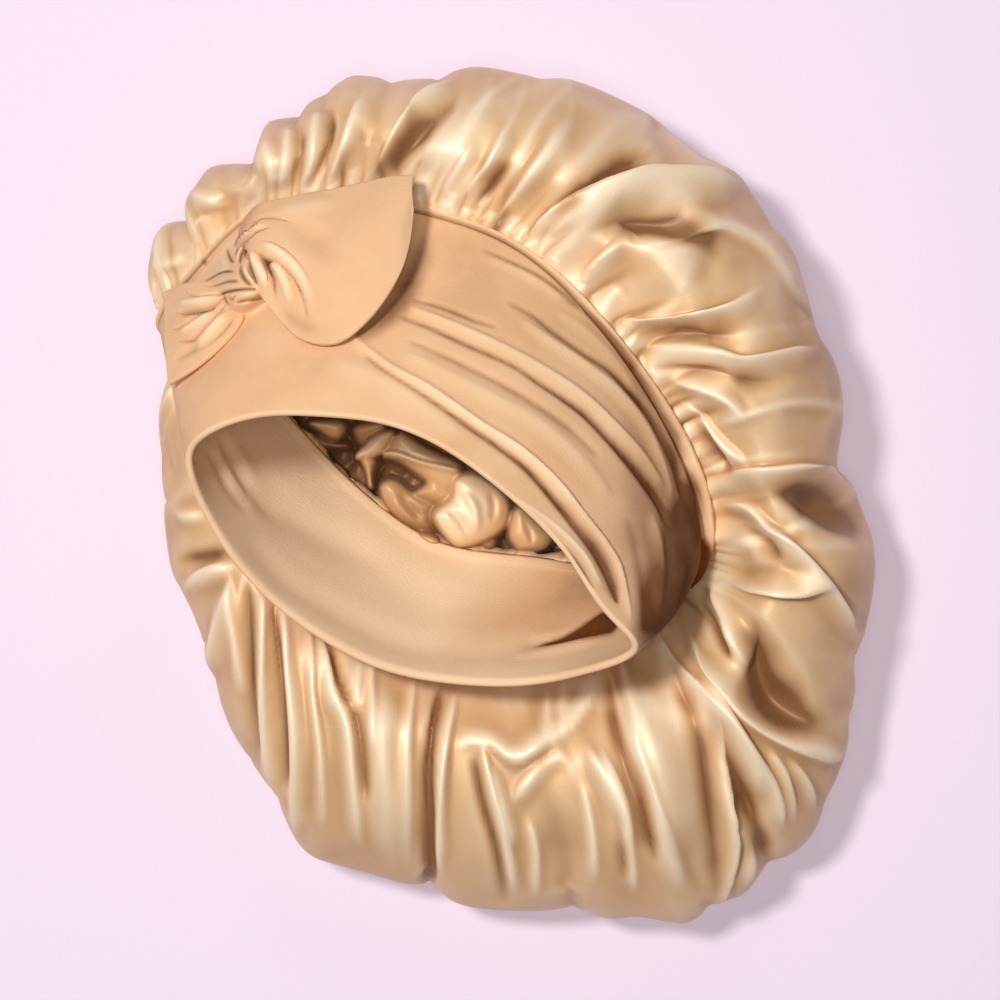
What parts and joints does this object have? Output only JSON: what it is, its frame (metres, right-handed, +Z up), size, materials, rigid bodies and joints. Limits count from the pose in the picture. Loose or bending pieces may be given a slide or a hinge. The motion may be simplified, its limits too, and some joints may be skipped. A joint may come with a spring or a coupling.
{
  "type": "sleep bonnet",
  "caption": "Soft sleep bonnet lying on its crown: a gathered satin bag on a wide stretch band, open at the mouth, tied in front with a knot and two tails.",
  "frame": {"origin": "on the surface that the bonnet lies on, under the middle of its box", "axes": "+Z up; +Y from the side the mouth leans to, over the knot's side of the band, along the longest side; +X towards the nape end of the band"},
  "size_m": [0.2622, 0.3043, 0.1496],
  "materials": {
    "satin": "glossy woven satin, champagne",
    "jersey": "matte stretch jersey, peach beige"
  },
  "bodies": {
    "root": {"crown": "satin", "band": "jersey", "knot": "jersey", "broad_tail": "jersey", "small_tail": "jersey"}
  },
  "joints": []
}
